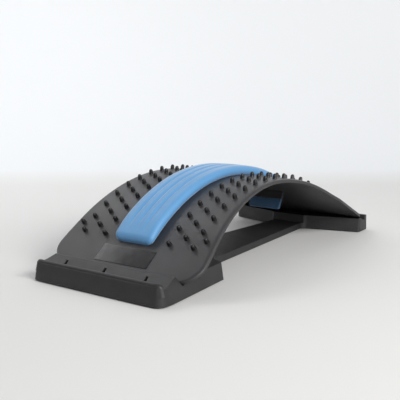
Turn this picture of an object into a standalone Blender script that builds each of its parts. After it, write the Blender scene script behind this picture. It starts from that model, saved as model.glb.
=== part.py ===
# Arched back stretcher: a bowed plate with raised nubs and a soft middle pad,
# its near end held in one of three grooves of a dog-bone base, its far end in a seat.
# X runs along the object from the grooves to the far seat, Z is up, sizes in metres.
# The arch is modelled flat, as distance along the plate, width and height over the
# plate's top face, and is then bent, so that all that it carries bends with it.

import bpy
import bmesh
from math import atan2, copysign, cos, pi, radians, sin, sqrt, tan
from mathutils import Vector

# Fits
TOUCH_GAP = 0.0003
SLOT_GAP = 0.0005

# Widths that the plate sets and the base follows
PLATE_END_HALF_WIDTH = 0.1175
NEAR_SIDE_INSET = 0.008
NEAR_BAR_TAPER = 0.0131
FAR_SIDE_MARGIN = 0.0005

# Base moulding, seen from above
BASE_LENGTH = 0.546
BASE_BOTTOM = 0.0015
DRAFT_ANGLE = radians(8)
WALL = 0.003
NEAR_HALF_WIDTH = PLATE_END_HALF_WIDTH - NEAR_SIDE_INSET
NEAR_INNER_HALF_WIDTH = NEAR_HALF_WIDTH - NEAR_BAR_TAPER
NEAR_BAR_LENGTH = 0.1438
NEAR_BAR_MIDDLE_LENGTH = 0.168
NEAR_CORNER_RADIUS = 0.023
BEAM_NEAR_HALF_WIDTH = 0.048
BEAM_FAR_HALF_WIDTH = 0.027
FAR_HALF_WIDTH = PLATE_END_HALF_WIDTH + FAR_SIDE_MARGIN
FAR_BAR_LENGTH = 0.033
FAR_BAR_MIDDLE_LENGTH = 0.059
FAR_CORNER_RADIUS = 0.005
INNER_CORNER_RADIUS = 0.006
NEAR_FILLET_RADIUS = 0.020
FAR_FILLET_RADIUS = 0.012
ARC_STEPS = 5

# Base moulding, heights along its length
BEAM_TOP = 0.0105
NEAR_BAR_TOP = 0.024
NEAR_LIP_TOP = 0.0275
NEAR_LIP_WIDTH = 0.0085
LIP_RADIUS = 0.0045
GROOVE_FLOOR = 0.0167
GROOVE_FLOOR_WIDTH = 0.002
GROOVE_FIRST = 0.011
GROOVE_PITCH = 0.0365
GROOVE_RISE_LENGTH = 0.0217
GROOVE_LAST_RISE = 0.0113
RIDGE_TOPS = (0.0303, 0.0275)
RIDGE_FLAT = 0.0012
STEP_SLOPE = 0.003
FAR_BAR_TOP = 0.023
FAR_STEP_SLOPE = 0.002
FAR_GROOVE_FLOOR = 0.0191
FAR_GROOVE_INSET = 0.0126
FAR_GROOVE_SLOPE = 0.0091
FAR_GROOVE_FLOOR_WIDTH = 0.0038
FAR_GROOVE_WALL_LEAN = 0.0009
FAR_LIP_TOP = 0.027

# Slots, ribs and feet of the base
SLOT_BACK = 0.006
SLOT_FRONT = 0.016
SLOT_WIDTH = 0.004
SLOT_SPACING = 0.066
RIB = 0.002
RIB_PITCH = 0.041
RIB_RECESS = 0.001
RIB_SPACINGS = (0.014, 0.060)
FOOT_RADIUS = 0.008
FOOT_HEIGHT = 0.004
FOOT_CHAMFER = 0.0008
FOOT_SIDES = 14
BOSS_WALL = 0.0027
NEAR_FOOT_INSET = 0.019
NEAR_FOOT_SPACING = 0.085
INNER_FOOT_INSET = 0.125
INNER_FOOT_SPACING = 0.078
FAR_FOOT_INSET = 0.023
FAR_FOOT_SPACING = 0.095
BEAM_FOOT_INSET = 0.035
BEAM_FOOT_SPACING = 0.035

# Arch plate
PLATE_THICKNESS = 0.005
CROWN_X = -0.012
CROWN_TOP = 0.1164
NEAR_STRAIGHT = 0.066
FAR_STRAIGHT = 0.146
PLATE_WAIST_HALF_WIDTH = 0.0965
FLARE_REACH = 0.215
FLARE_POWER = 1.7
PLATE_CORNER_RADIUS = 0.036
FLANK_EXTRA = 0.0025
FLANK_REACH = 0.150
SEAT_LENGTH = 0.012
NEAR_SEAT_BLEND = 0.020
FAR_SEAT_BLEND = 0.045
CORNER_STEPS = 5
FIN_LENGTH = 0.0055
FIN_DEPTH = 0.0045
FIN_LEAD = 0.0018

# Nubs
NUB_PITCH = 0.013
NUB_NEAR_INSET = 0.0519
NUB_FAR_INSET = 0.060
NUB_COLUMNS = {"inner": 0.0537, "middle": 0.0724, "outer": 0.0911, "edge": 0.103}
NUB_RADIUS = 0.0031
NUB_STEPS = ((0.0029, 0.0042), (0.0019, 0.0062))
NUB_HEIGHT = 0.0069
NUB_CELL_INSET = 0.002
COLUMN_EDGES = (0.044, 0.063, 0.082)

# Pad
PAD_HALF_WIDTH = 0.0305
PAD_THICKNESS = 0.016
PAD_END_THICKNESS = 0.010
PAD_NEAR_INSET = 0.0444
PAD_FAR_INSET = 0.0602
PAD_CORNER_RADIUS = 0.008
PAD_END_STEPS = 5
PAD_STEPS = 30
PAD_CROWN = 0.0006
PAD_CHANNELS = (0.007, 0.0205)
PAD_CHANNEL_DEPTH = 0.0015
PAD_CHANNEL_HALF_WIDTH = 0.002
PAD_CHANNEL_RUNOUT = 0.020
PAD_SIDE_DRAW = 0.001
PAD_SHOULDER = ((0.88, 0.99), (0.955, 0.94), (0.99, 0.84), (1.0, 0.42))

# Windows of the plate, the pad's tabs that hang through them and the brackets that hold those
WINDOW_HALF_WIDTH = 0.0285
WINDOW_ROW = 5
TAB_THICKNESS = 0.0051
TAB_REACH = 0.0339
TAB_ROUND = 0.003
BRACKET_THICKNESS = 0.003
BRACKET_REACH = 0.0178
BRACKET_OVERLAP = 0.002

# Lengths along X that follow from the sizes above
NEAR_END = -BASE_LENGTH / 2
FAR_END = BASE_LENGTH / 2
GROOVES = [NEAR_END + GROOVE_FIRST + GROOVE_PITCH * i for i in range(3)]
SEAT_GROOVE = GROOVES[1]
FAR_GROOVE_WALL = FAR_END - FAR_GROOVE_INSET
NEAR_STEP = NEAR_END + NEAR_BAR_MIDDLE_LENGTH
FAR_STEP = FAR_END - FAR_BAR_MIDDLE_LENGTH
RIDGES = [GROOVES[i] + GROOVE_RISE_LENGTH for i in range(2)]

# Seats of the plate's lower end corners, and the far seat's hinge line
NEAR_SEAT = (SEAT_GROOVE - GROOVE_FLOOR_WIDTH / 2 + TOUCH_GAP, GROOVE_FLOOR + TOUCH_GAP)
FAR_SEAT = (FAR_GROOVE_WALL - 0.0034, FAR_GROOVE_FLOOR + SLOT_GAP)


def flank(run, rise, straight):
    # Angle and radius of one side of the arch: an arc from the crown, then a straight
    # run that ends at the given distance from the crown and drop below it.
    low, high = 0.05, 1.3
    for _ in range(60):
        angle = (low + high) / 2
        across = run + PLATE_THICKNESS * sin(angle) - straight * cos(angle)
        down = rise - PLATE_THICKNESS * cos(angle) - straight * sin(angle)
        if across * tan(angle / 2) > down:
            high = angle
        else:
            low = angle
    return angle, across / sin(angle)


NEAR_ANGLE, NEAR_RADIUS = flank(CROWN_X - NEAR_SEAT[0], CROWN_TOP - NEAR_SEAT[1], NEAR_STRAIGHT)
FAR_ANGLE, FAR_RADIUS = flank(FAR_SEAT[0] - CROWN_X, CROWN_TOP - FAR_SEAT[1], FAR_STRAIGHT)
PLATE_START = -(NEAR_RADIUS * NEAR_ANGLE + NEAR_STRAIGHT)
PLATE_END = FAR_RADIUS * FAR_ANGLE + FAR_STRAIGHT
FIRST_ROW = PLATE_START + NUB_NEAR_INSET
ROWS = int((PLATE_END - NUB_FAR_INSET - FIRST_ROW) / NUB_PITCH) + 1
PAD_START = PLATE_START + PAD_NEAR_INSET
PAD_END = PLATE_END - PAD_FAR_INSET
HINGE = (FAR_SEAT[0] + PLATE_THICKNESS / 2 * sin(FAR_ANGLE), 0.0,
         FAR_SEAT[1] + PLATE_THICKNESS / 2 * cos(FAR_ANGLE))


def arch_point(along, height):
    # Place in X and Z of a point at a distance along the plate from its crown and at
    # a height over the plate's top face.
    side = copysign(1, along)
    angle_limit, radius = (NEAR_ANGLE, NEAR_RADIUS) if along < 0 else (FAR_ANGLE, FAR_RADIUS)
    reach = abs(along)
    angle = min(reach / radius, angle_limit)
    straight = max(reach - radius * angle_limit, 0.0)
    x = radius * sin(angle) + straight * cos(angle) + height * sin(angle)
    z = CROWN_TOP - radius * (1 - cos(angle)) - straight * sin(angle) + height * cos(angle)
    return CROWN_X + side * x, z


def bend(mesh):
    for vertex in mesh.vertices:
        vertex.co.x, vertex.co.z = arch_point(vertex.co.x, vertex.co.z)


def clear_scene():
    for item in list(bpy.data.objects):
        bpy.data.objects.remove(item, do_unlink=True)


def plastic(name, colour, roughness):
    made = bpy.data.materials.new(name)
    made.use_nodes = True
    shader = made.node_tree.nodes["Principled BSDF"]
    shader.inputs["Base Color"].default_value = (*colour, 1.0)
    shader.inputs["Roughness"].default_value = roughness
    shader.inputs["Metallic"].default_value = 0.0
    return made


def make_object(name, bm, finish=None):
    bmesh.ops.recalc_face_normals(bm, faces=bm.faces)
    mesh = bpy.data.meshes.new(name)
    bm.to_mesh(mesh)
    bm.free()
    made = bpy.data.objects.new(name, mesh)
    bpy.context.scene.collection.objects.link(made)
    if finish:
        mesh.materials.append(finish)
    else:
        made.hide_render = True
        made.display_type = "WIRE"
    return made


def combine(target, tool, operation):
    step = target.modifiers.new(tool.name, "BOOLEAN")
    step.operation = operation
    step.object = tool


def bake(item, finish):
    # Fixes the result of the modifiers as the object's own mesh.
    graph = bpy.context.evaluated_depsgraph_get()
    item.data = bpy.data.meshes.new_from_object(item.evaluated_get(graph))
    item.modifiers.clear()
    item.data.materials.clear()
    item.data.materials.append(finish)


def loft(bm, rings):
    # Skin over rings of points, with a face at each end. Returns the last one.
    loops = [[bm.verts.new(point) for point in ring] for ring in rings]
    for first, second in zip(loops, loops[1:]):
        for i in range(len(first)):
            j = (i + 1) % len(first)
            bm.faces.new((first[i], first[j], second[j], second[i]))
    bm.faces.new(reversed(loops[0]))
    return bm.faces.new(loops[-1])


def left_of(direction):
    return Vector((-direction.y, direction.x))


def rounded(corners, inset):
    # Outline through (x, y, radius) corners, moved inwards, each corner as an arc.
    outline = []
    for i, (x, y, radius) in enumerate(corners):
        here = Vector((x, y))
        arriving = (here - Vector(corners[i - 1][:2])).normalized()
        leaving = (Vector(corners[(i + 1) % len(corners)][:2]) - here).normalized()
        turn = atan2(arriving.cross(leaving), arriving.dot(leaving))
        miter = (left_of(arriving) + left_of(leaving)) / (1 + arriving.dot(leaving))
        bow = copysign(max(radius - copysign(inset, turn), TOUCH_GAP), turn)
        start = here + miter * inset - arriving * abs(bow) * tan(abs(turn) / 2)
        centre = start + left_of(arriving) * bow
        for k in range(ARC_STEPS + 1):
            angle = turn * k / ARC_STEPS
            spoke = start - centre
            outline.append((centre.x + spoke.x * cos(angle) - spoke.y * sin(angle),
                            centre.y + spoke.x * sin(angle) + spoke.y * cos(angle)))
    return outline


def drafted_solid(name, corners, bottom, top, wall, finish=None):
    bm = bmesh.new()
    rings = []
    for z in (bottom, top):
        inset = wall + (z - BASE_BOTTOM) * tan(DRAFT_ANGLE)
        rings.append([(x, y, z) for x, y in rounded(corners, inset)])
    loft(bm, rings)
    return make_object(name, bm, finish)


def extruded_profile(name, profile, half_width, centres=(0.0,)):
    # Outline in X and Z, run along Y to both sides of each centre.
    bm = bmesh.new()
    for centre in centres:
        loft(bm, [[(x, centre + side * half_width, z) for x, z in profile] for side in (-1, 1)])
    return make_object(name, bm)


def boxes(name, sizes_and_centres):
    bm = bmesh.new()
    for size, centre in sizes_and_centres:
        made = bmesh.ops.create_cube(bm, size=1.0)["verts"]
        bmesh.ops.scale(bm, vec=size, verts=made)
        bmesh.ops.translate(bm, vec=centre, verts=made)
    return make_object(name, bm)


def discs(name, radius, bottom, top, places, sides, finish=None):
    bm = bmesh.new()
    for x, y in places:
        made = bmesh.ops.create_cone(bm, cap_ends=True, segments=sides, radius1=radius,
                                     radius2=radius, depth=top - bottom)["verts"]
        bmesh.ops.translate(bm, vec=(x, y, (top + bottom) / 2), verts=made)
    return make_object(name, bm, finish)


def base_corners():
    one_side = [
        (NEAR_END, NEAR_HALF_WIDTH, NEAR_CORNER_RADIUS),
        (NEAR_END + NEAR_BAR_LENGTH, NEAR_INNER_HALF_WIDTH, INNER_CORNER_RADIUS),
        (NEAR_STEP, BEAM_NEAR_HALF_WIDTH, NEAR_FILLET_RADIUS),
        (FAR_STEP, BEAM_FAR_HALF_WIDTH, FAR_FILLET_RADIUS),
        (FAR_END - FAR_BAR_LENGTH, FAR_HALF_WIDTH, INNER_CORNER_RADIUS),
        (FAR_END, FAR_HALF_WIDTH, FAR_CORNER_RADIUS),
    ]
    right = [(x, -y, radius) for x, y, radius in one_side]
    return right + one_side[::-1]


def quarter_arc(x, z, radius, start):
    # Quarter circle round (x, z), clockwise from the given angle.
    angles = [start - pi / 2 * k / ARC_STEPS for k in range(ARC_STEPS + 1)]
    return [(x + radius * cos(angle), z + radius * sin(angle)) for angle in angles]


def top_profile():
    # Upper outline of the base along its length, closed far below it.
    floor_half = GROOVE_FLOOR_WIDTH / 2
    beyond = 0.02
    under = -0.01
    lip_end = NEAR_END + NEAR_LIP_WIDTH
    line = [(NEAR_END - beyond, under), (NEAR_END - beyond, NEAR_LIP_TOP - LIP_RADIUS)]
    line += quarter_arc(lip_end - 0.001 - LIP_RADIUS + LIP_RADIUS * 0.6, NEAR_LIP_TOP - LIP_RADIUS,
                        LIP_RADIUS, pi)
    line += [(lip_end, NEAR_LIP_TOP)]
    for i, groove in enumerate(GROOVES):
        line += [(groove - floor_half, GROOVE_FLOOR), (groove + floor_half, GROOVE_FLOOR)]
        if i < 2:
            line += [(RIDGES[i] - RIDGE_FLAT / 2, RIDGE_TOPS[i]),
                     (RIDGES[i] + RIDGE_FLAT / 2, RIDGE_TOPS[i])]
    line += [(GROOVES[2] + GROOVE_LAST_RISE, NEAR_BAR_TOP), (NEAR_STEP, NEAR_BAR_TOP),
             (NEAR_STEP + STEP_SLOPE, BEAM_TOP), (FAR_STEP, BEAM_TOP),
             (FAR_STEP + FAR_STEP_SLOPE, FAR_BAR_TOP)]
    floor_end = FAR_GROOVE_WALL
    floor_start = floor_end - FAR_GROOVE_FLOOR_WIDTH
    line += [(floor_start - FAR_GROOVE_SLOPE, FAR_BAR_TOP), (floor_start, FAR_GROOVE_FLOOR),
             (floor_end, FAR_GROOVE_FLOOR), (floor_end + FAR_GROOVE_WALL_LEAN, FAR_LIP_TOP)]
    line += quarter_arc(FAR_END - 0.0027 - LIP_RADIUS, FAR_LIP_TOP - LIP_RADIUS, LIP_RADIUS, pi / 2)
    line += [(FAR_END + beyond, FAR_LIP_TOP - LIP_RADIUS), (FAR_END + beyond, under)]
    return line


def cavity_profile():
    # Roof of the hollow underside, one wall below the upper outline.
    floor_half = GROOVE_FLOOR_WIDTH / 2
    low = GROOVE_FLOOR - WALL
    beyond = 0.02
    under = -0.01
    line = [(NEAR_END - beyond, under), (NEAR_END - beyond, low)]
    for i in range(2):
        line += [(GROOVES[i] + floor_half, low), (RIDGES[i], RIDGE_TOPS[i] - WALL),
                 (GROOVES[i + 1] - floor_half, low)]
    line += [(GROOVES[2] + floor_half, low),
             (GROOVES[2] + GROOVE_LAST_RISE, NEAR_BAR_TOP - WALL),
             (NEAR_STEP - WALL, NEAR_BAR_TOP - WALL),
             (NEAR_STEP - WALL + STEP_SLOPE, BEAM_TOP - WALL),
             (FAR_STEP + WALL, BEAM_TOP - WALL),
             (FAR_STEP + WALL + FAR_STEP_SLOPE, FAR_BAR_TOP - WALL)]
    floor_start = FAR_GROOVE_WALL - FAR_GROOVE_FLOOR_WIDTH
    line += [(floor_start - FAR_GROOVE_SLOPE, FAR_BAR_TOP - WALL),
             (floor_start, FAR_GROOVE_FLOOR - WALL),
             (FAR_END + beyond, FAR_GROOVE_FLOOR - WALL), (FAR_END + beyond, under)]
    return line


def foot_places():
    places = {}
    rows = (("near", NEAR_END + NEAR_FOOT_INSET, NEAR_FOOT_SPACING),
            ("inner", NEAR_END + INNER_FOOT_INSET, INNER_FOOT_SPACING),
            ("beam", FAR_END - BEAM_FOOT_INSET, BEAM_FOOT_SPACING),
            ("far", FAR_END - FAR_FOOT_INSET, FAR_FOOT_SPACING))
    for row, x, spacing in rows:
        places["foot_" + row + "_left"] = (x, spacing)
        places["foot_" + row + "_right"] = (x, -spacing)
    return places


def rib_boxes():
    # Cross ribs stand under the ridges and then at an even pitch, long ribs beside
    # the middle and beside the slots. They end a little above the moulding's rim.
    height = 0.06
    middle = BASE_BOTTOM + RIB_RECESS + height / 2
    stations = [RIDGES[0]]
    x = RIDGES[1]
    while x < FAR_END:
        stations.append(x)
        x += RIB_PITCH
    across = [((RIB, 1.0, height), (x, 0, middle)) for x in stations]
    along = [((1.0, RIB, height), (0, side * y, middle)) for y in RIB_SPACINGS for side in (-1, 1)]
    return boxes("rib_cross_guide", across), boxes("rib_long_guide", along)


def make_base(finish):
    corners = base_corners()
    above = 0.002
    base = drafted_solid("base_frame", corners, BASE_BOTTOM, max(RIDGE_TOPS) + above, 0.0, finish)
    combine(base, extruded_profile("top_guide", top_profile(), FAR_HALF_WIDTH * 1.2), "INTERSECT")

    hollow = drafted_solid("hollow_guide", corners, -above, max(RIDGE_TOPS), WALL)
    combine(hollow, extruded_profile("roof_guide", cavity_profile(), FAR_HALF_WIDTH * 1.2),
            "INTERSECT")
    for ribs in rib_boxes():
        combine(hollow, ribs, "DIFFERENCE")
    places = foot_places()
    boss = FOOT_RADIUS + TOUCH_GAP + BOSS_WALL
    combine(hollow, discs("boss_guide", boss, -2 * above, NEAR_LIP_TOP, places.values(), 16),
            "DIFFERENCE")
    combine(base, hollow, "DIFFERENCE")

    slots = []
    slot_bottom = GROOVE_FLOOR - WALL * 2
    slot_top = max(RIDGE_TOPS) + above
    size = (SLOT_BACK + SLOT_FRONT, SLOT_WIDTH, slot_top - slot_bottom)
    for groove in GROOVES:
        for y in (-SLOT_SPACING, 0, SLOT_SPACING):
            x = groove + (SLOT_FRONT - SLOT_BACK) / 2
            slots.append((size, (x, y, (slot_top + slot_bottom) / 2)))
    combine(base, boxes("slot_guide", slots), "DIFFERENCE")
    pocket_top = FOOT_HEIGHT + TOUCH_GAP
    pocket = discs("pocket_guide", FOOT_RADIUS + TOUCH_GAP, -above, pocket_top, places.values(),
                   FOOT_SIDES)
    combine(base, pocket, "DIFFERENCE")


def make_feet(finish):
    for name, place in foot_places().items():
        foot = discs(name, FOOT_RADIUS, 0.0, FOOT_HEIGHT, [place], FOOT_SIDES, finish)
        bm = bmesh.new()
        bm.from_mesh(foot.data)
        rim = [edge for edge in bm.edges if max(v.co.z for v in edge.verts) < FOOT_CHAMFER / 2]
        bmesh.ops.bevel(bm, geom=rim, offset=FOOT_CHAMFER, affect="EDGES", segments=1, profile=0.5)
        bm.to_mesh(foot.data)
        bm.free()
        foot.data.shade_smooth()
        foot.data.set_sharp_from_angle(angle=radians(35))


def row_place(row):
    return FIRST_ROW + row * NUB_PITCH


def nubs_in_row(row):
    # Names of the columns that a row of the pattern has: inner and outer, then middle.
    if row % 2 == 0:
        return ("inner", "outer")
    if row in (1, ROWS - 2):
        return ("middle", "edge")
    return ("middle",)


def plate_half_width(along):
    # The plate is waisted at its crown and has large corners at both ends.
    reach = min(abs(along) / FLARE_REACH, 1.0)
    flare = (PLATE_END_HALF_WIDTH - PLATE_WAIST_HALF_WIDTH) * reach ** FLARE_POWER
    half = PLATE_WAIST_HALF_WIDTH + flare
    to_end = min(along - PLATE_START, PLATE_END - along)
    cut = max(PLATE_CORNER_RADIUS - to_end, 0.0)
    return half - PLATE_CORNER_RADIUS + sqrt(PLATE_CORNER_RADIUS ** 2 - cut ** 2)


def plate_depth(along):
    # The flanks are deeper than the crown, and thin again where the ends are seated.
    near = (along - PLATE_START - SEAT_LENGTH) / NEAR_SEAT_BLEND
    far = (PLATE_END - SEAT_LENGTH - along) / FAR_SEAT_BLEND
    share = min(abs(along) / FLANK_REACH, near, far, 1.0)
    return PLATE_THICKNESS + FLANK_EXTRA * max(share, 0.0)


def plate_stations():
    corner = [PLATE_CORNER_RADIUS * (1 - cos(pi / 2 * k / CORNER_STEPS))
              for k in range(CORNER_STEPS + 1)]
    stations = [PLATE_START + reach for reach in corner]
    stations += [row_place(row - 0.5) for row in range(ROWS + 1)]
    stations += [PLATE_END - reach for reach in reversed(corner)]
    return stations


def tab_boxes(gap, thickness, half_width, low, high):
    # Size and centre of one cross wall in each window, the given gap in from the
    # window's outer end.
    places = []
    for row, inward in ((WINDOW_ROW, 1), (ROWS - 1 - WINDOW_ROW, -1)):
        along = row_place(row - inward / 2) + inward * (gap + thickness / 2)
        places.append(((thickness, 2 * half_width, high - low), (along, 0, (low + high) / 2)))
    return places


def raise_nub(bm, face, centre):
    # One nub, drawn up out of its cell of the plate's top: an eight-sided bullet.
    bmesh.ops.inset_individual(bm, faces=[face], thickness=NUB_CELL_INSET)
    bmesh.ops.subdivide_edges(bm, edges=list(face.edges), cuts=1)
    middle = face.calc_center_median()
    ordered = sorted(face.verts, key=lambda v: atan2(v.co.y - middle.y, v.co.x - middle.x))
    spread = [Vector((cos(angle), sin(angle), 0))
              for angle in (-3 * pi / 4 + k * pi / 4 for k in range(8))]
    for vertex, spoke in zip(ordered, spread):
        vertex.co = Vector(centre) + spoke * NUB_RADIUS
    for radius, height in NUB_STEPS:
        face = bmesh.ops.extrude_discrete_faces(bm, faces=[face])["faces"][0]
        here = face.calc_center_median()
        for vertex in face.verts:
            vertex.co = here + (vertex.co - here).normalized() * radius
            vertex.co.z = height
    bmesh.ops.poke(bm, faces=[face])["verts"][0].co.z = NUB_HEIGHT


def make_plate(finish):
    bm = bmesh.new()
    stations = plate_stations()
    lines = []
    for along in stations:
        half = plate_half_width(along)
        shrink = min(1.0, half / PLATE_WAIST_HALF_WIDTH)
        one_side = [y * shrink for y in (WINDOW_HALF_WIDTH, *COLUMN_EDGES)] + [half]
        lines.append([-y for y in reversed(one_side)] + one_side)
    grid = [[bm.verts.new((along, y, 0)) for y in row] for along, row in zip(stations, lines)]
    cells = {}
    for i in range(len(grid) - 1):
        for j in range(len(grid[0]) - 1):
            corners = (grid[i][j], grid[i + 1][j], grid[i + 1][j + 1], grid[i][j + 1])
            cells[i - CORNER_STEPS - 1, j] = bm.faces.new(corners)
    holes = [cells.pop((row, 4)) for row in (WINDOW_ROW, ROWS - 1 - WINDOW_ROW)]
    bmesh.ops.delete(bm, geom=holes, context="FACES")
    made = bmesh.ops.extrude_face_region(bm, geom=bm.faces)["geom"]
    for vertex in [item for item in made if isinstance(item, bmesh.types.BMVert)]:
        vertex.co.z = -plate_depth(vertex.co.x)
    column_cell = {"inner": 2, "middle": 1, "outer": 0, "edge": 0}
    for row in range(ROWS):
        for column in nubs_in_row(row):
            for side in (-1, 1):
                j = column_cell[column] if side < 0 else 8 - column_cell[column]
                raise_nub(bm, cells[row, j], (row_place(row), side * NUB_COLUMNS[column], 0))
    plate = make_object("arch_plate", bm, finish)
    bend(plate.data)
    walls = tab_boxes(TAB_THICKNESS + 2 * TOUCH_GAP, BRACKET_THICKNESS,
                      WINDOW_HALF_WIDTH + BRACKET_OVERLAP, -BRACKET_REACH,
                      BRACKET_OVERLAP / 2 - PLATE_THICKNESS)
    brackets = boxes("bracket_guide", walls)
    bend(brackets.data)
    combine(plate, brackets, "UNION")

    # Locating fins under the near end, one in each slot of the groove it stands in
    foot_x, foot_z = NEAR_SEAT
    top_x = foot_x + FIN_LENGTH
    profile = [(foot_x - FIN_LEAD, foot_z - FIN_DEPTH),
               (top_x - FIN_LEAD, foot_z - FIN_DEPTH),
               (top_x, foot_z + (top_x - foot_x) * tan(NEAR_ANGLE) + PLATE_THICKNESS / 2),
               (foot_x - PLATE_THICKNESS / 4, foot_z + PLATE_THICKNESS / 2)]
    fin_half = SLOT_WIDTH / 2 - SLOT_GAP
    fins = extruded_profile("fin_guide", profile, fin_half, (-SLOT_SPACING, 0, SLOT_SPACING))
    combine(plate, fins, "UNION")
    plate.data.shade_smooth()
    plate.data.set_sharp_from_angle(angle=radians(30))
    return plate


def pad_ring(along):
    # Section across the pad: flat below, drawn-in sides, crowned top with channels.
    to_end = min(along - PAD_START, PAD_END - along)
    cut = max(PAD_CORNER_RADIUS - to_end, 0.0)
    swell = sqrt(PAD_CORNER_RADIUS ** 2 - cut ** 2) / PAD_CORNER_RADIUS
    half = PAD_HALF_WIDTH - PAD_CORNER_RADIUS * (1 - swell)
    thick = PAD_END_THICKNESS + (PAD_THICKNESS - PAD_END_THICKNESS) * swell
    depth = PAD_CHANNEL_DEPTH * min(max(to_end - PAD_CORNER_RADIUS, 0) / PAD_CHANNEL_RUNOUT, 1)
    stretch = half / PAD_HALF_WIDTH
    top = [(0.0, 0.0)]
    for channel in PAD_CHANNELS:
        for offset, share in ((-PAD_CHANNEL_HALF_WIDTH, 0), (0, 1), (PAD_CHANNEL_HALF_WIDTH, 0)):
            top.append((channel + offset, share * depth))
    one_side = []
    for y, dip in top:
        crown = PAD_CROWN * (y / PAD_HALF_WIDTH) ** 2
        one_side.append((y * stretch, TOUCH_GAP + thick - crown * swell - dip))
    one_side += [(share * half, TOUCH_GAP + thick * height) for share, height in PAD_SHOULDER]
    one_side.append((half - PAD_SIDE_DRAW, TOUCH_GAP))
    ring = one_side + [(-y, z) for y, z in reversed(one_side[1:])]
    return [(along, y, z) for y, z in ring]


def pad_stations():
    reach = [PAD_CORNER_RADIUS * (1 - cos(pi / 2 * k / PAD_END_STEPS)) for k in range(PAD_END_STEPS)]
    start = PAD_START + PAD_CORNER_RADIUS
    length = PAD_END - PAD_START - 2 * PAD_CORNER_RADIUS
    middle = [start + length * k / PAD_STEPS for k in range(PAD_STEPS + 1)]
    return [PAD_START + r for r in reach] + middle + [PAD_END - r for r in reversed(reach)]


def make_pad(finish):
    bm = bmesh.new()
    loft(bm, [pad_ring(along) for along in pad_stations()])
    pad = make_object("massage_pad", bm, finish)
    tabs = boxes("tab_guide", tab_boxes(TOUCH_GAP, TAB_THICKNESS, WINDOW_HALF_WIDTH - TOUCH_GAP,
                                        -TAB_REACH, PAD_END_THICKNESS / 2))
    bm = bmesh.new()
    bm.from_mesh(tabs.data)
    upright = [e for e in bm.edges if max(v.co.z for v in e.verts) < 0
               and abs(e.verts[0].co.x - e.verts[1].co.x) > TOUCH_GAP]
    bmesh.ops.bevel(bm, geom=upright, offset=TAB_ROUND, affect="EDGES", segments=2, profile=0.5)
    bm.to_mesh(tabs.data)
    bm.free()
    combine(pad, tabs, "UNION")
    bake(pad, finish)
    bend(pad.data)
    pad.data.shade_smooth()
    pad.data.set_sharp_from_angle(angle=radians(40))
    return pad


def main():
    clear_scene()
    make_base(plastic("base_plastic", (0.035, 0.035, 0.037), 0.55))
    rubber = plastic("black_rubber", (0.012, 0.012, 0.013), 0.5)
    make_feet(rubber)
    moving = [make_plate(plastic("plate_plastic", (0.075, 0.075, 0.077), 0.5))]
    moving.append(make_pad(plastic("pad_foam", (0.05, 0.25, 0.62), 0.6)))

    hinge = bpy.data.objects.new("far_seat_hinge", None)
    hinge.location = HINGE
    bpy.context.scene.collection.objects.link(hinge)
    bpy.context.view_layer.update()
    for item in moving:
        item.parent = hinge
        item.matrix_parent_inverse = hinge.matrix_world.inverted()


main()
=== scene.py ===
from math import atan2, copysign, cos, pi, radians, sin, sqrt, tan

import bmesh
import bpy
from mathutils import Matrix, Vector


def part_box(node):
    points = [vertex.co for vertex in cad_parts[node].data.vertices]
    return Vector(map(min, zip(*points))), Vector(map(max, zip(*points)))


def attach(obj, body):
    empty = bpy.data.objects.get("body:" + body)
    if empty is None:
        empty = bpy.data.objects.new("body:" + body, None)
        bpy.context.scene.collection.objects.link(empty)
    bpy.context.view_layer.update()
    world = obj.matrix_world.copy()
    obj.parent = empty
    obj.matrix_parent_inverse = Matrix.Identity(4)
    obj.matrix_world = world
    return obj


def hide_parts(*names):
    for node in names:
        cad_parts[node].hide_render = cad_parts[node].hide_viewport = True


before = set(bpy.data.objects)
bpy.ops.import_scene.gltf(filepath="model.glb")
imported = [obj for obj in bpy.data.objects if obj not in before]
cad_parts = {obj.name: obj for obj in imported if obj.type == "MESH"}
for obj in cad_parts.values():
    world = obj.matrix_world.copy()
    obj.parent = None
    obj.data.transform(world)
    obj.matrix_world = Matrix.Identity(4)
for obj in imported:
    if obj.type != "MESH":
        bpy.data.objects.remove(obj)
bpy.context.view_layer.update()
print("frame loaded:", len(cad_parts), "nodes")

# The arch's own curve, as the plate's top face follows it. Metres.
arch = {
    "crownX": -0.012,
    "crownTop": 0.1164,
    "thickness": 0.005,
    "nearSeat": (-0.2262, 0.0170),      # lower end corners of the plate
    "farSeat": (0.2570, 0.0196),
    "nearStraight": 0.066,              # flat run at each end, past the bend
    "farStraight": 0.146,
    "leastAngle": 0.05, "mostAngle": 1.3, "halvings": 60,       # search for each side's angle
}
tiny = 0.00001          # points closer than this are merged


def flank(run, rise, straight):
    # angle and radius of one side: a bend from the crown, then a straight run
    low, high = arch["leastAngle"], arch["mostAngle"]
    for _ in range(arch["halvings"]):
        angle = (low + high) / 2
        across = run + arch["thickness"] * sin(angle) - straight * cos(angle)
        down = rise - arch["thickness"] * cos(angle) - straight * sin(angle)
        if across * tan(angle / 2) > down:
            high = angle
        else:
            low = angle
    return angle, across / sin(angle)


nearAngle, nearRadius = flank(arch["crownX"] - arch["nearSeat"][0],
                              arch["crownTop"] - arch["nearSeat"][1], arch["nearStraight"])
farAngle, farRadius = flank(arch["farSeat"][0] - arch["crownX"],
                            arch["crownTop"] - arch["farSeat"][1], arch["farStraight"])
plateStart = -(nearRadius * nearAngle + arch["nearStraight"])
plateEnd = farRadius * farAngle + arch["farStraight"]


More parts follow.
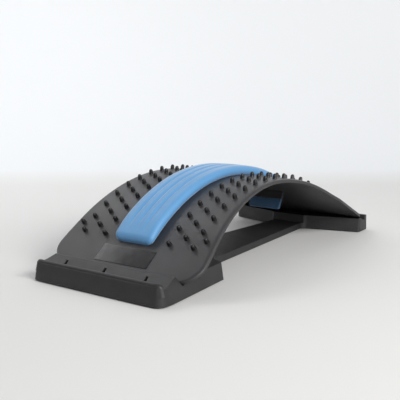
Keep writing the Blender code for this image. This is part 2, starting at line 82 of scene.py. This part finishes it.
def archPoint(along, height):
    # x and z of a point at a distance along the plate and a height over its top face
    limit, radius = (nearAngle, nearRadius) if along < 0 else (farAngle, farRadius)
    angle = min(abs(along) / radius, limit)
    rest = max(abs(along) - radius * limit, 0.0)
    x = radius * sin(angle) + rest * cos(angle) + height * sin(angle)
    z = arch["crownTop"] - radius * (1 - cos(angle)) - rest * sin(angle) + height * cos(angle)
    return arch["crownX"] + copysign(x, along), z


def bendOver(bm):
    # a piece drawn flat is laid over the arch: x is the distance along it, z the height
    for vert in bm.verts:
        vert.co.x, vert.co.z = archPoint(vert.co.x, vert.co.z)


def finishPiece(name, bm, material, body, replaced=(), smooth=35):
    mesh = bpy.data.meshes.new(name)
    bm.to_mesh(mesh)
    bm.free()
    piece = bpy.data.objects.new(name, mesh)
    bpy.context.scene.collection.objects.link(piece)
    mesh.materials.append(material)
    mesh.shade_smooth()
    mesh.set_sharp_from_angle(angle=radians(smooth))
    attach(piece, body)
    if replaced:
        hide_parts(*replaced)
    return piece


def roundEdges(piece, width, segments, angle=35):
    step = piece.modifiers.new("roundEdges", "BEVEL")
    step.width = width
    step.segments = segments
    step.limit_method = "ANGLE"
    step.angle_limit = radians(angle)
    step.harden_normals = False
    step.use_clamp_overlap = True
    return step


# Materials

def newMaterial(name, colour, roughness):
    material = bpy.data.materials.new(name)
    material.use_nodes = True
    tree = material.node_tree
    shader = tree.nodes["Principled BSDF"]
    shader.inputs["Base Color"].default_value = (*colour, 1)
    shader.inputs["Roughness"].default_value = roughness
    return material, tree, shader


def addNoise(tree, scale, detail, roughness=0.55):
    place = tree.nodes.new("ShaderNodeTexCoord")
    noise = tree.nodes.new("ShaderNodeTexNoise")
    noise.inputs["Scale"].default_value = scale
    noise.inputs["Detail"].default_value = detail
    noise.inputs["Roughness"].default_value = roughness
    tree.links.new(place.outputs["Object"], noise.inputs["Vector"])
    return noise


def addRamp(tree, source, stops):
    ramp = tree.nodes.new("ShaderNodeValToRGB")
    elements = ramp.color_ramp.elements
    while len(elements) < len(stops):
        elements.new(0.5)
    for element, (position, colour) in zip(elements, stops):
        element.position = position
        element.color = (*colour, 1)
    tree.links.new(source, ramp.inputs["Fac"])
    return ramp


def addRange(tree, source, low, high):
    span = tree.nodes.new("ShaderNodeMapRange")
    span.inputs["To Min"].default_value = low
    span.inputs["To Max"].default_value = high
    tree.links.new(source, span.inputs["Value"])
    return span


def addBump(tree, shader, sources, strengths, distance):
    # several height patterns, one bump after another
    before = None
    for source, strength in zip(sources, strengths):
        bump = tree.nodes.new("ShaderNodeBump")
        bump.inputs["Strength"].default_value = strength
        bump.inputs["Distance"].default_value = distance
        tree.links.new(source, bump.inputs["Height"])
        if before:
            tree.links.new(before.outputs["Normal"], bump.inputs["Normal"])
        before = bump
    tree.links.new(before.outputs["Normal"], shader.inputs["Normal"])


# What all the moulded plastics and rubbers share
moulding = {
    "specular": 0.5, "mottleStops": (0.35, 0.65), "mottleDetail": 3.0,
    "patchScale": 2.3, "patchDetail": 2.0, "patchSpread": 0.06,     # patches more and less rough
    "grainDetail": 2.0, "grainRoughness": 0.7,
    "waveScale": 60.0, "waveDetail": 1.0, "wave": 0.04, "depth": 0.001,
}


def mouldedPlastic(name, look):
    # dark plastic with a fine spark-eroded grain, faint mottling and patches of gloss
    material, tree, shader = newMaterial(name, look["colour"], look["roughness"])
    mottle = addNoise(tree, look["mottleScale"], moulding["mottleDetail"])
    dark = [c * (1 - look["mottle"]) for c in look["colour"]]
    pale = [c * (1 + look["mottle"]) for c in look["colour"]]
    ramp = addRamp(tree, mottle.outputs["Fac"], list(zip(moulding["mottleStops"], (dark, pale))))
    tree.links.new(ramp.outputs["Color"], shader.inputs["Base Color"])
    rough = addNoise(tree, look["mottleScale"] * moulding["patchScale"], moulding["patchDetail"])
    span = addRange(tree, rough.outputs["Fac"], look["roughness"] - moulding["patchSpread"],
                    look["roughness"] + moulding["patchSpread"])
    tree.links.new(span.outputs["Result"], shader.inputs["Roughness"])
    grain = addNoise(tree, look["grainScale"], moulding["grainDetail"], moulding["grainRoughness"])
    wave = addNoise(tree, moulding["waveScale"], moulding["waveDetail"])
    addBump(tree, shader, [grain.outputs["Fac"], wave.outputs["Fac"]],
            [look["grain"], moulding["wave"]], moulding["depth"])
    shader.inputs["Specular IOR Level"].default_value = moulding["specular"]
    return material


basePlasticLook = {"colour": (0.0235, 0.023, 0.0243), "roughness": 0.50,
                   "mottle": 0.12, "mottleScale": 26.0, "grain": 0.10, "grainScale": 2600.0}
platePlasticLook = {"colour": (0.038, 0.037, 0.0392), "roughness": 0.42,
                    "mottle": 0.08, "mottleScale": 22.0, "grain": 0.10, "grainScale": 2400.0}
rubberLook = {"colour": (0.009, 0.009, 0.010), "roughness": 0.30,
              "mottle": 0.15, "mottleScale": 120.0, "grain": 0.06, "grainScale": 3500.0}
labelLook = {"colour": (0.010, 0.010, 0.011), "roughness": 0.16,
             "mottle": 0.1, "mottleScale": 40.0, "grain": 0.02, "grainScale": 3000.0}

basePlastic = mouldedPlastic("basePlastic", basePlasticLook)
platePlastic = mouldedPlastic("platePlastic", platePlasticLook)
nubRubber = mouldedPlastic("nubRubber", rubberLook)
labelFilm = mouldedPlastic("labelFilm", labelLook)

padLook = {"dark": (0.105, 0.315, 0.60), "pale": (0.125, 0.345, 0.64), "sheen": 0.5}
# the tabs' foam is the pad's foam made darker and less glossy: painted shade for the tabs hanging
# in the shadow under the plate
tabShadeLook = {"dark": (0.045, 0.108, 0.205), "pale": (0.054, 0.124, 0.230), "sheen": 0.1}
foamSkin = {
    "roughness": 0.50, "sheenRoughness": 0.4,
    "cloudScale": 14.0, "cloudDetail": 4.0, "cloudStops": (0.3, 0.7),
    "poreScale": 1500.0, "poreDetail": 3.0, "poreRoughness": 0.7, "pores": 0.10,
    "dentScale": 90.0, "dentDetail": 2.0, "dents": 0.06, "depth": 0.001,
}


def foam(name, look):
    # closed-cell skin: soft sheen, faint clouds of colour, fine pores and shallow dents
    material, tree, shader = newMaterial(name, look["dark"], foamSkin["roughness"])
    cloud = addNoise(tree, foamSkin["cloudScale"], foamSkin["cloudDetail"])
    colours = (look["dark"], look["pale"])
    ramp = addRamp(tree, cloud.outputs["Fac"], list(zip(foamSkin["cloudStops"], colours)))
    tree.links.new(ramp.outputs["Color"], shader.inputs["Base Color"])
    pores = addNoise(tree, foamSkin["poreScale"], foamSkin["poreDetail"], foamSkin["poreRoughness"])
    dents = addNoise(tree, foamSkin["dentScale"], foamSkin["dentDetail"])
    addBump(tree, shader, [pores.outputs["Fac"], dents.outputs["Fac"]],
            [foamSkin["pores"], foamSkin["dents"]], foamSkin["depth"])
    shader.inputs["Sheen Weight"].default_value = look["sheen"]
    shader.inputs["Sheen Roughness"].default_value = foamSkin["sheenRoughness"]
    return material


padBlue = foam("padFoam", padLook)
tabShadeBlue = foam("tabFoamPaintedShade", tabShadeLook)
print("materials made")

# Base

baseShape = {
    "flatWithin": radians(0.6),         # faces closer to one plane than this become one
    "edge": 0.0012, "edgeSteps": 3,
    "nearEnd": -0.273, "nearHalf": 0.1095, "solidCorner": 0.023, "corner": 0.014, "arcFrom": 0.0172,
    "farFrom": 0.230, "farOuter": 0.108, "farExtra": 0.0026, "farUpright": 0.12,
    # the far bar's raised ends
    "earsOver": 0.0188, "earsFrom": 0.2600, "earsTo": 0.2675, "earsPast": 0.1180,
    "earRound": 0.0025, "earSteps": 4,
    # from, to and shift of the groove ends and lip corners that sit a little off
    "moves": (
        ((-0.2420, 0.098, 0.0255), (-0.2385, 0.106, 0.0310), (0.0050, -0.0040, -0.0015)),
        ((-0.2560, 0.098, 0.0195), (-0.2475, 0.106, 0.0260), (0.0, -0.0030, -0.0010)),
        ((-0.2636, 0.0, 0.0125), (-0.2600, 0.110, 0.0175), (0.0030, 0.0, 0.0)),
        ((-0.2700, 0.0, 0.0262), (-0.2640, 0.110, 0.0285), (0.0, 0.0, -0.0030)),
    ),
}


def inEars(edge):
    return all(v.co.z > baseShape["earsOver"] and abs(v.co.y) > baseShape["earsPast"]
               and baseShape["earsFrom"] < v.co.x < baseShape["earsTo"] for v in edge.verts)


def makeBase():
    # a copy of the solid base, its corners brought to their true places, then softened
    bm = bmesh.new()
    bm.from_mesh(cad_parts["base_frame"].data)
    bmesh.ops.remove_doubles(bm, verts=bm.verts, dist=tiny)
    bmesh.ops.dissolve_limit(bm, angle_limit=baseShape["flatWithin"], verts=bm.verts,
                             edges=bm.edges)
    tighten = baseShape["solidCorner"] - baseShape["corner"]
    for vert in bm.verts:
        x, y = vert.co.x, abs(vert.co.y)
        # outer corners of the near bar: the same arc, round a centre nearer the corner
        overX = baseShape["nearEnd"] + baseShape["solidCorner"] - x
        overY = y - baseShape["nearHalf"] + baseShape["solidCorner"]
        reach = sqrt(max(overX, 0) ** 2 + max(overY, 0) ** 2)
        if overX > 0 and overY > 0 and reach > baseShape["arcFrom"]:
            x += tighten * (overX / reach - 1)
            y += tighten * (1 - overY / reach)
            vert.co.x, vert.co.y = x, copysign(y, vert.co.y)
        # ends of the far bar: a little longer and nearly upright
        if x > baseShape["farFrom"] and y > baseShape["farOuter"]:
            y += baseShape["farExtra"] + baseShape["farUpright"] * vert.co.z
            vert.co.y = copysign(y, vert.co.y)
        for low, high, (moveX, moveY, moveZ) in baseShape["moves"]:
            if all(a <= b <= c for a, b, c in zip(low, (x, y, vert.co.z), high)):
                vert.co += Vector((moveX, moveY * copysign(1, vert.co.y), moveZ))
    bmesh.ops.bevel(bm, geom=[e for e in bm.edges if inEars(e)], offset=baseShape["earRound"],
                    affect="EDGES", segments=baseShape["earSteps"], profile=0.5, material=-1,
                    clamp_overlap=True)
    base = finishPiece("baseShell", bm, basePlastic, "base", ["base_frame"])
    roundEdges(base, baseShape["edge"], baseShape["edgeSteps"])


makeBase()

# Soft, thick lip along the near bar, over the thin one of the base
lip = {
    "low": 0.0125, "high": 0.0280, "back": -0.2622, "outset": 0.0004, "inset": 0.0005,
    "frontDraft": 0.18, "sideDraft": 0.23,          # lean of the bar's outer faces
    "corner": 0.0130, "cornerSteps": 10, "round": 0.0027, "roundSteps": 6,
    "droop": 0.0060, "droopRun": 0.0100,            # the top comes down towards its ends
}


def makeLip():
    bm = bmesh.new()
    bmesh.ops.create_cube(bm, size=2)
    for vert in bm.verts:
        high = vert.co.z > 0
        z = lip["high"] if high else lip["low"]
        outset = lip["outset"] if high else -lip["inset"]
        front = baseShape["nearEnd"] + lip["frontDraft"] * z - outset
        x = front if vert.co.x < 0 else lip["back"]
        side = baseShape["nearHalf"] - lip["sideDraft"] * z + outset
        vert.co = (x, copysign(side, vert.co.y), z)
    corners = [e for e in bm.edges if all(v.co.x < lip["back"] - tiny for v in e.verts)
               and abs(e.verts[0].co.z - e.verts[1].co.z) > tiny]
    bmesh.ops.bevel(bm, geom=corners, offset=lip["corner"], affect="EDGES",
                    segments=lip["cornerSteps"], profile=0.5, material=-1)
    rim = [e for e in bm.edges if all(v.co.z > lip["high"] - tiny for v in e.verts)]
    bmesh.ops.bevel(bm, geom=rim, offset=lip["round"], affect="EDGES",
                    segments=lip["roundSteps"], profile=0.5, material=-1)
    ends = baseShape["nearHalf"] - lip["sideDraft"] * lip["high"]
    for vert in bm.verts:
        if vert.co.z > lip["low"] + tiny:
            over = min(max((abs(vert.co.y) - ends) / lip["droopRun"] + 1, 0), 1)
            vert.co.z -= lip["droop"] * (1 - sqrt(1 - over ** 2))
    finishPiece("lipRoll", bm, basePlastic, "base")


makeLip()

footSize = {
    "radius": 0.008, "height": 0.004, "edge": 0.0009, "edgeSteps": 3, "steps": 48,
    "margin": 0.002, "wallRun": 0.0006, "hollow": 0.0004,       # shallow hollow in the underside
}


def makeFeet():
    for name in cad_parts:
        if not name.startswith("foot_"):
            continue
        low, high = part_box(name)
        centre = (low + high) / 2
        bm = bmesh.new()
        bmesh.ops.create_cone(bm, cap_ends=True, segments=footSize["steps"],
                              radius1=footSize["radius"], radius2=footSize["radius"],
                              depth=footSize["height"])
        bmesh.ops.translate(bm, vec=(centre.x, centre.y, footSize["height"] / 2), verts=bm.verts)
        rim = [e for e in bm.edges if abs(e.verts[0].co.z - e.verts[1].co.z) < tiny]
        bmesh.ops.bevel(bm, geom=rim, offset=footSize["edge"], affect="EDGES",
                        segments=footSize["edgeSteps"], profile=0.5, material=-1)
        under = min(bm.faces, key=lambda f: f.calc_center_median().z)
        bmesh.ops.inset_region(bm, faces=[under], thickness=footSize["margin"], depth=0)
        bmesh.ops.inset_region(bm, faces=[under], thickness=footSize["wallRun"],
                               depth=-footSize["hollow"])
        newName = name.replace("foot_", "rubberFoot_")
        finishPiece(newName, bm, nubRubber, "base", [name])


makeFeet()
print("base and feet made")

# Arch plate

plate = {
    "waist": 0.1042, "flare": 0.0165,       # half-width at the crown, and what the ends add
    "nearReach": 0.208, "farReach": 0.185, "flarePower": 1.8,
    "nearCorner": 0.029, "farCorner": 0.024,        # corner radii
    "cornerSteps": 14,
    "flankExtra": 0.0003, "flankReach": 0.150,      # slightly deeper flanks
    "seat": 0.012, "nearBlend": 0.020, "farBlend": 0.045,
    "rimWidth": 0.0055, "rimDrop": 0.0022, "rimSteps": 5,   # rounded rim of the top face
    "edge": 0.0007, "edgeSteps": 3,
    "windowHalf": 0.0285, "gridShares": (0.5, 0.6, 0.8), "endGap": 0.001,
}
nubGrid = {
    "pitch": 0.013, "nearInset": 0.0519, "farInset": 0.060,     # first and last row from the ends
    "columns": {"inner": 0.0537, "middle": 0.0724, "outer": 0.0911, "edge": 0.103},
    "windowRow": 5,
}
firstRow = plateStart + nubGrid["nearInset"]
rowCount = int((plateEnd - nubGrid["farInset"] - firstRow) / nubGrid["pitch"]) + 1


def rowPlace(row):
    return firstRow + row * nubGrid["pitch"]


# each window from its outer end to its inner end
windowRows = ((nubGrid["windowRow"], 1), (rowCount - 1 - nubGrid["windowRow"], -1))
windows = [(rowPlace(row - inward / 2), rowPlace(row + inward / 2), inward)
           for row, inward in windowRows]


def plateHalf(along):
    # half of the plate's width at a distance along it
    reach = min(abs(along) / plate["nearReach" if along < 0 else "farReach"], 1)
    half = plate["waist"] + plate["flare"] * reach ** plate["flarePower"]
    corner = plate["nearCorner"] if along < 0 else plate["farCorner"]
    cut = max(corner - min(along - plateStart, plateEnd - along), 0.0)
    return half - corner + sqrt(max(corner ** 2 - cut ** 2, 0))


def plateDepth(along):
    # thickness of the plate at a distance along it
    near = (along - plateStart - plate["seat"]) / plate["nearBlend"]
    far = (plateEnd - plate["seat"] - along) / plate["farBlend"]
    share = max(min(abs(along) / plate["flankReach"], near, far, 1), 0)
    return arch["thickness"] + plate["flankExtra"] * share


def plateStations():
    # places along the plate where its mesh has points: close ones round the corners
    turns = [1 - cos(pi / 2 * k / plate["cornerSteps"]) for k in range(plate["cornerSteps"] + 1)]
    start, end = plateStart + plate["nearCorner"], plateEnd - plate["farCorner"]
    middle = [rowPlace(k / 2 - 0.5) for k in range(2 * rowCount + 3)]
    gap = plate["endGap"]
    middle = [along for along in middle if start + gap < along < end - gap]
    stations = [plateStart + plate["nearCorner"] * turn for turn in turns] + middle
    return stations + [plateEnd - plate["farCorner"] * turn for turn in reversed(turns)]


def plateColumns(half):
    # y and height across one half of the plate, out to its rounded rim
    inner = min(half, plate["waist"])
    flat = half - plate["rimWidth"]
    first, second, third = plate["gridShares"]
    columns = [(0, 0), (min(plate["windowHalf"], inner * first), 0),
               (inner * second, 0), (inner * third, 0)]
    for k in range(plate["rimSteps"] + 1):
        turn = pi / 2 * k / plate["rimSteps"]
        columns.append((flat + plate["rimWidth"] * sin(turn), -plate["rimDrop"] * (1 - cos(turn))))
    return columns


tab = {
    "gap": 0.0003, "thickness": 0.0051, "reach": 0.0339, "intoPad": 0.001,
    "round": 0.0030, "roundSteps": 5, "edge": 0.0008, "edgeSteps": 3, "smooth": 40,
}
bracket = {"thickness": 0.0030, "reach": 0.0178, "top": 0.0040, "overlap": 0.002}


def addWall(bm, start, inward, thickness, half, low, high, rounding):
    # one upright wall across the plate, its lower corners rounded
    cube = bmesh.ops.create_cube(bm, size=1.0)["verts"]
    bmesh.ops.scale(bm, vec=(thickness, 2 * half, high - low), verts=cube)
    centre = (start + inward * thickness / 2, 0, (low + high) / 2)
    bmesh.ops.translate(bm, vec=centre, verts=cube)
    if rounding:
        own = {v for v in cube if v.co.z < centre[2]}
        edges = [e for e in bm.edges if e.verts[0] in own and e.verts[1] in own
                 and abs(e.verts[0].co.x - e.verts[1].co.x) > thickness / 2]
        bmesh.ops.bevel(bm, geom=edges, offset=rounding, affect="EDGES",
                        segments=tab["roundSteps"], profile=0.5, material=-1)


def makePlate():
    # a flat sheet with two windows, given its thickness and brackets, then laid over the arch
    stations = plateStations()
    side = len(plateColumns(plate["waist"])) - 1
    bm = bmesh.new()
    bmesh.ops.create_grid(bm, x_segments=len(stations) - 1, y_segments=2 * side, size=1)
    for vert in bm.verts:
        along = stations[round((vert.co.x + 1) / 2 * (len(stations) - 1))]
        column = round(vert.co.y * side)
        y, height = plateColumns(plateHalf(along))[abs(column)]
        vert.co = (along, copysign(y, column), height)
    gone = []
    for face in bm.faces:
        middle = face.calc_center_median()
        inRows = any(min(ends[:2]) < middle.x < max(ends[:2]) for ends in windows)
        if inRows and abs(middle.y) < plate["windowHalf"]:
            gone.append(face)
    bmesh.ops.delete(bm, geom=gone, context="FACES")
    made = bmesh.ops.extrude_face_region(bm, geom=bm.faces)["geom"]
    for vert in [v for v in made if isinstance(v, bmesh.types.BMVert)]:
        vert.co.z = -plateDepth(vert.co.x)
    bmesh.ops.recalc_face_normals(bm, faces=bm.faces)
    for outer, inner, inward in windows:
        gap = tab["gap"] * 2 + tab["thickness"]
        addWall(bm, outer + inward * gap, inward, bracket["thickness"],
                plate["windowHalf"] + bracket["overlap"], -bracket["reach"], -bracket["top"], 0)
    bendOver(bm)
    made = finishPiece("archPlate", bm, platePlastic, "arch", ["arch_plate"])
    roundEdges(made, plate["edge"], plate["edgeSteps"])


makePlate()

nub = {
    # radius and height, from the tip to the foot
    "profile": ((0.0, 0.0072), (0.0008, 0.00713), (0.0015, 0.00685), (0.0021, 0.0062),
                (0.0026, 0.0052), (0.0029, 0.0040), (0.0030, 0.0022), (0.0031, 0.0008),
                (0.0034, 0.0002), (0.0034, -0.0002), (0.0, -0.0002)),
    "steps": 16,
}


def nubsInRow(row):
    # columns of one row: they alternate, and the second row from each end has one more
    if row % 2 == 0:
        return ("inner", "outer")
    return ("middle", "edge") if row in (1, rowCount - 2) else ("middle",)


def makeNubs():
    # one nub is spun, then set upright on the arch at every place of the grid
    one = bmesh.new()
    verts = [one.verts.new((radius, 0, height)) for radius, height in nub["profile"]]
    edges = [one.edges.new(pair) for pair in zip(verts, verts[1:])]
    bmesh.ops.spin(one, geom=verts + edges, cent=(0, 0, 0), axis=(0, 0, 1), angle=2 * pi,
                   steps=nub["steps"], use_merge=True)
    bmesh.ops.remove_doubles(one, verts=one.verts, dist=tiny)
    bmesh.ops.recalc_face_normals(one, faces=one.faces)
    pattern = bpy.data.meshes.new("nubPattern")
    one.to_mesh(pattern)
    one.free()
    for sideName, side in (("left", 1), ("right", -1)):
        for column, y in nubGrid["columns"].items():
            bm = bmesh.new()
            for row in range(rowCount):
                if column not in nubsInRow(row):
                    continue
                along = rowPlace(row)
                x, z = archPoint(along, 0)
                upX, upZ = archPoint(along, 1)
                tilt = atan2(upX - x, upZ - z)
                before = len(bm.verts)
                bm.from_mesh(pattern)
                bm.verts.ensure_lookup_table()
                place = Matrix.Translation((x, side * y, z)) @ Matrix.Rotation(tilt, 4, "Y")
                bmesh.ops.transform(bm, matrix=place, verts=bm.verts[before:])
            finishPiece("nubs_" + sideName + "_" + column, bm, nubRubber, "arch")
    bpy.data.meshes.remove(pattern)


makeNubs()
print("arch plate and nubs made")

# Massage pad

pad = {
    "flatHalf": 0.0245, "side": 0.0070,             # flat top, then a rounded side
    "sideHeight": 0.0060, "thickness": 0.0138, "edge": 0.0045, "corner": 0.0085,
    "tuck": radians(130), "foot": 0.0287,           # how far the side turns under
    "nearInset": 0.0444, "farInset": 0.0602,        # from the plate's ends
    "channels": (-0.0135, 0, 0.0135), "channelDepth": 0.0017, "channelHalf": 0.0036,
    "runout": 0.045,                                # the channels fade out towards the ends
    "crown": 0.0006, "lift": 0.0003,
    "taper": 0.036, "taperDrop": 0.0042,            # thinner towards the near end
    "endSteps": 10, "steps": 120, "topSteps": 66, "sideSteps": 9,
    "smooth": 60,
}
padStart, padEnd = plateStart + pad["nearInset"], plateEnd - pad["farInset"]


def padSection(column):
    # y and height of one point of the pad's section, and its depth in the channels
    half = pad["topSteps"] // 2
    over = abs(column) - half
    if over <= 0:
        y = pad["flatHalf"] * column / half
        dip = 0
        for channel in pad["channels"]:
            off = abs(y - channel) / pad["channelHalf"]
            if off < 1:
                dip += (1 + cos(pi * off)) / 2
        return y, pad["thickness"] - pad["crown"] * (column / half) ** 2, dip
    turn = pad["tuck"] * over / pad["sideSteps"]
    y = copysign(pad["flatHalf"] + pad["side"] * sin(turn), column)
    rise = pad["thickness"] - pad["crown"] - pad["sideHeight"]
    return y, pad["sideHeight"] + rise * cos(turn), 0


def makePad():
    # a crowned strip with sewn-looking channels and rounded sides, laid over the arch
    turns = [pi / 2 * k / pad["endSteps"] for k in range(pad["endSteps"])]
    reach = [pad["corner"] * (1 - cos(turn)) for turn in turns]
    start, length = padStart + pad["corner"], padEnd - padStart - 2 * pad["corner"]
    stations = [padStart + r for r in reach]
    stations += [start + length * k / pad["steps"] for k in range(pad["steps"] + 1)]
    stations += [padEnd - r for r in reversed(reach)]
    columns = pad["topSteps"] + 2 * pad["sideSteps"]
    widest = pad["flatHalf"] + pad["side"]
    bm = bmesh.new()
    bmesh.ops.create_grid(bm, x_segments=len(stations) - 1, y_segments=columns, size=1)
    for vert in bm.verts:
        along = stations[round((vert.co.x + 1) / 2 * (len(stations) - 1))]
        toEnd = min(along - padStart, padEnd - along)
        cut = max(pad["corner"] - toEnd, 0)
        swell = sqrt(max(pad["corner"] ** 2 - cut ** 2, 0)) / pad["corner"]
        y, height, dip = padSection(round(vert.co.y * columns / 2))
        fade = min(max(toEnd - pad["corner"], 0) / pad["runout"], 1)
        height -= dip * pad["channelDepth"] * fade * (2 - fade)
        thin = max(1 - (along - padStart) / pad["taper"], 0)
        height *= 1 - pad["taperDrop"] / pad["thickness"] * thin ** 2
        lower = pad["edge"] / pad["thickness"]
        height *= lower + (1 - lower) * swell
        vert.co = (along, y * (1 - pad["corner"] * (1 - swell) / widest), pad["lift"] + height)
    low = bmesh.ops.extrude_face_region(bm, geom=bm.faces)["geom"]
    for vert in [v for v in low if isinstance(v, bmesh.types.BMVert)]:
        vert.co.z = pad["lift"]
        vert.co.y *= pad["foot"] / widest
    bmesh.ops.recalc_face_normals(bm, faces=bm.faces)
    bendOver(bm)
    made = finishPiece("softPad", bm, padBlue, "arch", ["massage_pad"], pad["smooth"])


def makeTabs():
    # the pad's two tabs, which hang through the windows against the brackets
    bm = bmesh.new()
    for outer, inner, inward in windows:
        addWall(bm, outer + inward * tab["gap"], inward, tab["thickness"],
                plate["windowHalf"] - tab["gap"], -tab["reach"], pad["lift"] + tab["intoPad"],
                tab["round"])
    bendOver(bm)
    made = finishPiece("padTabs", bm, tabShadeBlue, "arch", (), tab["smooth"])
    roundEdges(made, tab["edge"], tab["edgeSteps"])


makePad()
makeTabs()
print("pad made")

# Bare label plate on the near flank

label = {
    "from": -0.2335, "to": -0.2060, "half": 0.0430, "thickness": 0.0005, "lift": 0.0001,
    "corner": 0.0012, "cornerSteps": 4,
}


def makeLabel():
    bm = bmesh.new()
    bmesh.ops.create_cube(bm, size=1.0)
    start, end = label["from"], label["to"]
    bmesh.ops.scale(bm, vec=(end - start, 2 * label["half"], label["thickness"]), verts=bm.verts)
    centre = ((start + end) / 2, 0, label["thickness"] / 2 + label["lift"])
    bmesh.ops.translate(bm, vec=centre, verts=bm.verts)
    upright = [e for e in bm.edges if abs(e.verts[0].co.z - e.verts[1].co.z) > tiny]
    bmesh.ops.bevel(bm, geom=upright, offset=label["corner"], affect="EDGES",
                    segments=label["cornerSteps"], profile=0.5, material=-1)
    bendOver(bm)
    finishPiece("labelPlate", bm, labelFilm, "arch")


makeLabel()
print("label plate made")

# Floor, lights and camera

view = {
    "place": (-0.87775, -0.59559, 0.25956),
    "pan": radians(35.685),     # from +X towards +Y
    "tilt": radians(9.773),     # downwards
    "lens": 65.2, "sensor": 36.0, "clip": (0.05, 60),
}


def makeCamera():
    data = bpy.data.cameras.new("camera")
    data.lens, data.sensor_width = view["lens"], view["sensor"]
    data.clip_start, data.clip_end = view["clip"]
    camera = bpy.data.objects.new("camera", data)
    bpy.context.scene.collection.objects.link(camera)
    pan, tilt = view["pan"], view["tilt"]
    forward = Vector((cos(pan) * cos(tilt), sin(pan) * cos(tilt), -sin(tilt)))
    camera.location = view["place"]
    camera.rotation_mode = "QUATERNION"
    camera.rotation_quaternion = forward.to_track_quat("-Z", "Y")
    bpy.context.scene.camera = camera


sweep = {
    "flat": 0.64, "radius": 0.55, "height": 1.0,    # flat run past the origin, bend, wall
    "front": 5.0, "width": 9.0, "steps": 40, "sideSteps": 8,
    # the wall's colour is paler than the floor's: painted light on the backdrop
    "colour": (0.80, 0.795, 0.78), "paintedBrightWall": (0.87, 0.885, 0.90), "fadeHeight": 0.02,
    "roughness": 0.9, "specular": 0.1,
}


def makeSweep():
    # paper that runs on under the camera and bends up into a wall behind the object
    bm = bmesh.new()
    bend = sweep["radius"] * pi / 2
    length = sweep["front"] + sweep["flat"] + bend + sweep["height"]
    stations = [0, sweep["front"], sweep["front"] + sweep["flat"]]
    stations += [stations[-1] + bend * (k + 1) / sweep["steps"] for k in range(sweep["steps"])]
    stations.append(length)
    bmesh.ops.create_grid(bm, x_segments=len(stations) - 1, y_segments=sweep["sideSteps"], size=1)
    for vert in bm.verts:
        station = stations[round((vert.co.x + 1) / 2 * (len(stations) - 1))]
        run = station - sweep["front"] - sweep["flat"]
        turn = min(max(run, 0), bend) / sweep["radius"]
        forward = sweep["flat"] + min(run, 0) + sweep["radius"] * sin(turn)
        side = vert.co.y * sweep["width"] / 2
        up = sweep["radius"] * (1 - cos(turn)) + max(run - bend, 0)
        vert.co = (forward * cos(view["pan"]) - side * sin(view["pan"]),
                   forward * sin(view["pan"]) + side * cos(view["pan"]), up)
    mesh = bpy.data.meshes.new("paperSweep")
    bm.to_mesh(mesh)
    bm.free()
    mesh.shade_smooth()
    paper = bpy.data.objects.new("paperSweep", mesh)
    bpy.context.scene.collection.objects.link(paper)
    # a warm floor that fades into a paler, cooler wall: the paler wall is painted light, standing
    # in for the backdrop being lit brighter than the floor
    material, tree, shader = newMaterial("paper", sweep["colour"], sweep["roughness"])
    shader.inputs["Specular IOR Level"].default_value = sweep["specular"]
    place = tree.nodes.new("ShaderNodeTexCoord")
    parts = tree.nodes.new("ShaderNodeSeparateXYZ")
    tree.links.new(place.outputs["Object"], parts.inputs["Vector"])
    span = addRange(tree, parts.outputs["Z"], 0, 1)
    span.inputs["From Max"].default_value = sweep["fadeHeight"]
    stops = [(0, sweep["colour"]), (1, sweep["paintedBrightWall"])]
    ramp = addRamp(tree, span.outputs["Result"], stops)
    tree.links.new(ramp.outputs["Color"], shader.inputs["Base Color"])
    mesh.materials.append(material)


lamps = {
    "keySoftbox": {"place": (-0.5, -2.0, 1.2), "size": (1.6, 0.9), "power": 52.0,
                   "colour": (1.0, 0.996, 0.985), "aim": (0, 0, 0.05)},
    "backSoftbox": {"place": (0.9, 0.4, 1.7), "size": (1.2, 1.2), "power": 2.4,
                    "colour": (1.0, 1.0, 1.0), "aim": (0, 0, 0.05)},
    "leftFill": {"place": (-0.6, 1.1, 0.9), "size": (0.8, 0.6), "power": 3.1,
                 "colour": (1.0, 1.0, 1.0), "aim": (0, 0, 0.05)},
    "frontFill": {"place": (-1.5, -1.2, 0.6), "size": (1.4, 0.8), "power": 1.8,
                  "colour": (1.0, 1.0, 1.0), "aim": (0, 0, 0.05)},
    "wallWash": {"place": (0.10, 1.10, 1.4), "size": (0.9, 0.6), "power": 6.2,
                 "colour": (0.99, 0.995, 1.0), "aim": (0.45, 1.30, 0.25)},
}


def makeLight(name, place, size, power, colour, aim):
    data = bpy.data.lights.new(name, "AREA")
    data.shape, data.size, data.size_y = "RECTANGLE", size[0], size[1]
    data.energy, data.color = power, colour
    lamp = bpy.data.objects.new(name, data)
    lamp.location = place
    lamp.rotation_mode = "QUATERNION"
    lamp.rotation_quaternion = (Vector(aim) - Vector(place)).to_track_quat("-Z", "Y")
    bpy.context.scene.collection.objects.link(lamp)


studio = {
    "light": (0.93, 0.95, 1.0), "strength": 0.20,       # what lights the object
    "seen": (0.90, 0.905, 0.92), "seenStrength": 1.0,   # what the camera sees
}


def makeWorld():
    world = bpy.data.worlds.new("studio")
    bpy.context.scene.world = world
    world.use_nodes = True
    tree = world.node_tree
    light = tree.nodes["Background"]
    light.inputs["Color"].default_value = (*studio["light"], 1)
    light.inputs["Strength"].default_value = studio["strength"]
    seen = tree.nodes.new("ShaderNodeBackground")
    seen.inputs["Color"].default_value = (*studio["seen"], 1)
    seen.inputs["Strength"].default_value = studio["seenStrength"]
    path = tree.nodes.new("ShaderNodeLightPath")
    mix = tree.nodes.new("ShaderNodeMixShader")
    tree.links.new(path.outputs["Is Camera Ray"], mix.inputs["Fac"])
    tree.links.new(light.outputs["Background"], mix.inputs[1])
    tree.links.new(seen.outputs["Background"], mix.inputs[2])
    tree.links.new(mix.outputs["Shader"], tree.nodes["World Output"].inputs["Surface"])


makeCamera()
makeSweep()
for name, values in lamps.items():
    makeLight(name, **values)
makeWorld()
bpy.context.scene.view_settings.view_transform = "Standard"
print("stage made")
